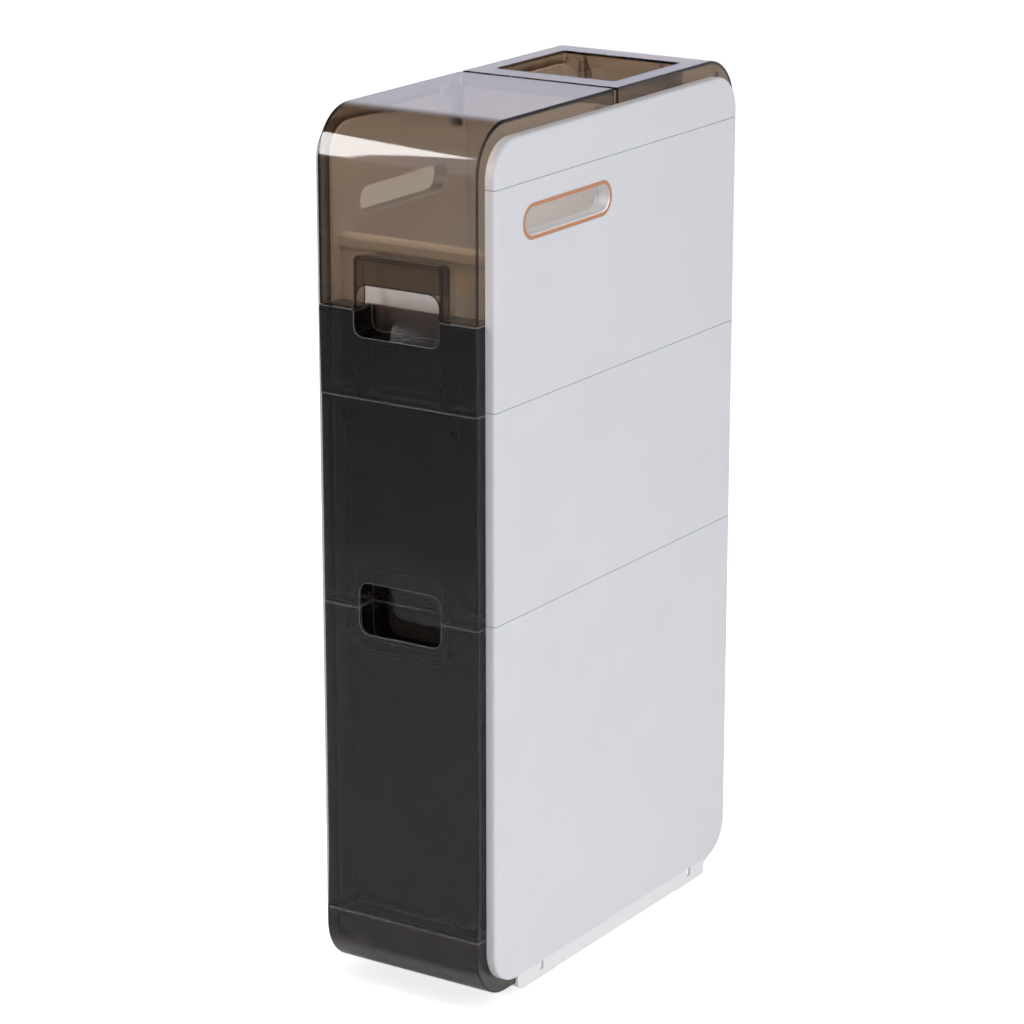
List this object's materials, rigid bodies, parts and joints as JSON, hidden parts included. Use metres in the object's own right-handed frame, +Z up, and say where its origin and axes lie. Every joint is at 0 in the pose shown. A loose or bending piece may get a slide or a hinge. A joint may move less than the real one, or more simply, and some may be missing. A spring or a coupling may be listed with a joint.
{
  "type": "narrow rolling cabinet",
  "caption": "Slim upright cabinet on rollers: white moulded cheeks, smoked plastic core with a hinged lid, an open rear bin, pull-out drawers and grip slots.",
  "frame": {"origin": "on the floor, under the middle of the cabinet", "axes": "+X to the right, +Y to the back, +Z up"},
  "size_m": [0.1804, 0.422, 0.786],
  "materials": {
    "white_plastic": "satin moulded",
    "smoke_clear": "polished, see-through smoke",
    "smoke_dark": "polished, dark smoke",
    "copper_trim": "copper-coloured satin",
    "roller_plastic": "matte",
    "steel_hardware": "bright zinc"
  },
  "bodies": {
    "cabinet": {"base_tray": "white_plastic", "grip_trim_left": "copper_trim", "grip_trim_right": "copper_trim", "hinge_pins": "steel_hardware", "kick_cover": "smoke_dark", "lower_back": "white_plastic", "lower_cheek_left": "white_plastic", "lower_cheek_right": "white_plastic", "lower_floor": "white_plastic", "lower_liner_left": "white_plastic", "lower_liner_right": "white_plastic", "middle_back": "white_plastic", "middle_cheek_left": "white_plastic", "middle_cheek_right": "white_plastic", "middle_floor": "white_plastic", "middle_liner_left": "white_plastic", "middle_liner_right": "white_plastic", "rear_top_frame": "smoke_clear", "top_cap_left": "white_plastic", "top_cap_right": "white_plastic", "upper_back": "white_plastic", "upper_band": "smoke_dark", "upper_cheek_left": "white_plastic", "upper_cheek_right": "white_plastic", "upper_floor": "white_plastic", "upper_front_wall": "white_plastic", "upper_liner_left": "white_plastic", "upper_liner_right": "white_plastic", "upper_partition": "white_plastic", "wheel_axles": "steel_hardware"},
    "lid": {"lid": "smoke_clear"},
    "middle_drawer": {"middle_drawer_box": "smoke_dark", "middle_drawer_front": "smoke_dark", "middle_drawer_screws": "steel_hardware"},
    "lower_drawer": {"lower_drawer_box": "smoke_dark", "lower_drawer_front": "smoke_dark", "lower_drawer_screws": "steel_hardware"},
    "front_left_wheel": {"front_left_wheel": "roller_plastic"},
    "front_right_wheel": {"front_right_wheel": "roller_plastic"},
    "rear_left_wheel": {"rear_left_wheel": "roller_plastic"},
    "rear_right_wheel": {"rear_right_wheel": "roller_plastic"}
  },
  "joints": [
    {"name": "lid_hinge", "type": "hinge", "parent": "cabinet", "child": "lid", "pos_m": [0, -0.022, 0.77], "axis": [-1, 0, 0], "range_deg": [0, 85]},
    {"name": "middle_drawer_slide", "type": "slide", "parent": "cabinet", "child": "middle_drawer", "axis": [0, -1, 0], "range_m": [0, 0.28]},
    {"name": "lower_drawer_slide", "type": "slide", "parent": "cabinet", "child": "lower_drawer", "axis": [0, -1, 0], "range_m": [0, 0.28]},
    {"name": "front_left_wheel_roll", "type": "hinge", "parent": "cabinet", "child": "front_left_wheel", "pos_m": [-0.056, -0.12, 0.019], "axis": [1, 0, 0], "continuous": true},
    {"name": "front_right_wheel_roll", "type": "hinge", "parent": "cabinet", "child": "front_right_wheel", "pos_m": [0.056, -0.12, 0.019], "axis": [1, 0, 0], "continuous": true},
    {"name": "rear_left_wheel_roll", "type": "hinge", "parent": "cabinet", "child": "rear_left_wheel", "pos_m": [-0.056, 0.1435, 0.019], "axis": [1, 0, 0], "continuous": true},
    {"name": "rear_right_wheel_roll", "type": "hinge", "parent": "cabinet", "child": "rear_right_wheel", "pos_m": [0.056, 0.1435, 0.019], "axis": [1, 0, 0], "continuous": true}
  ]
}
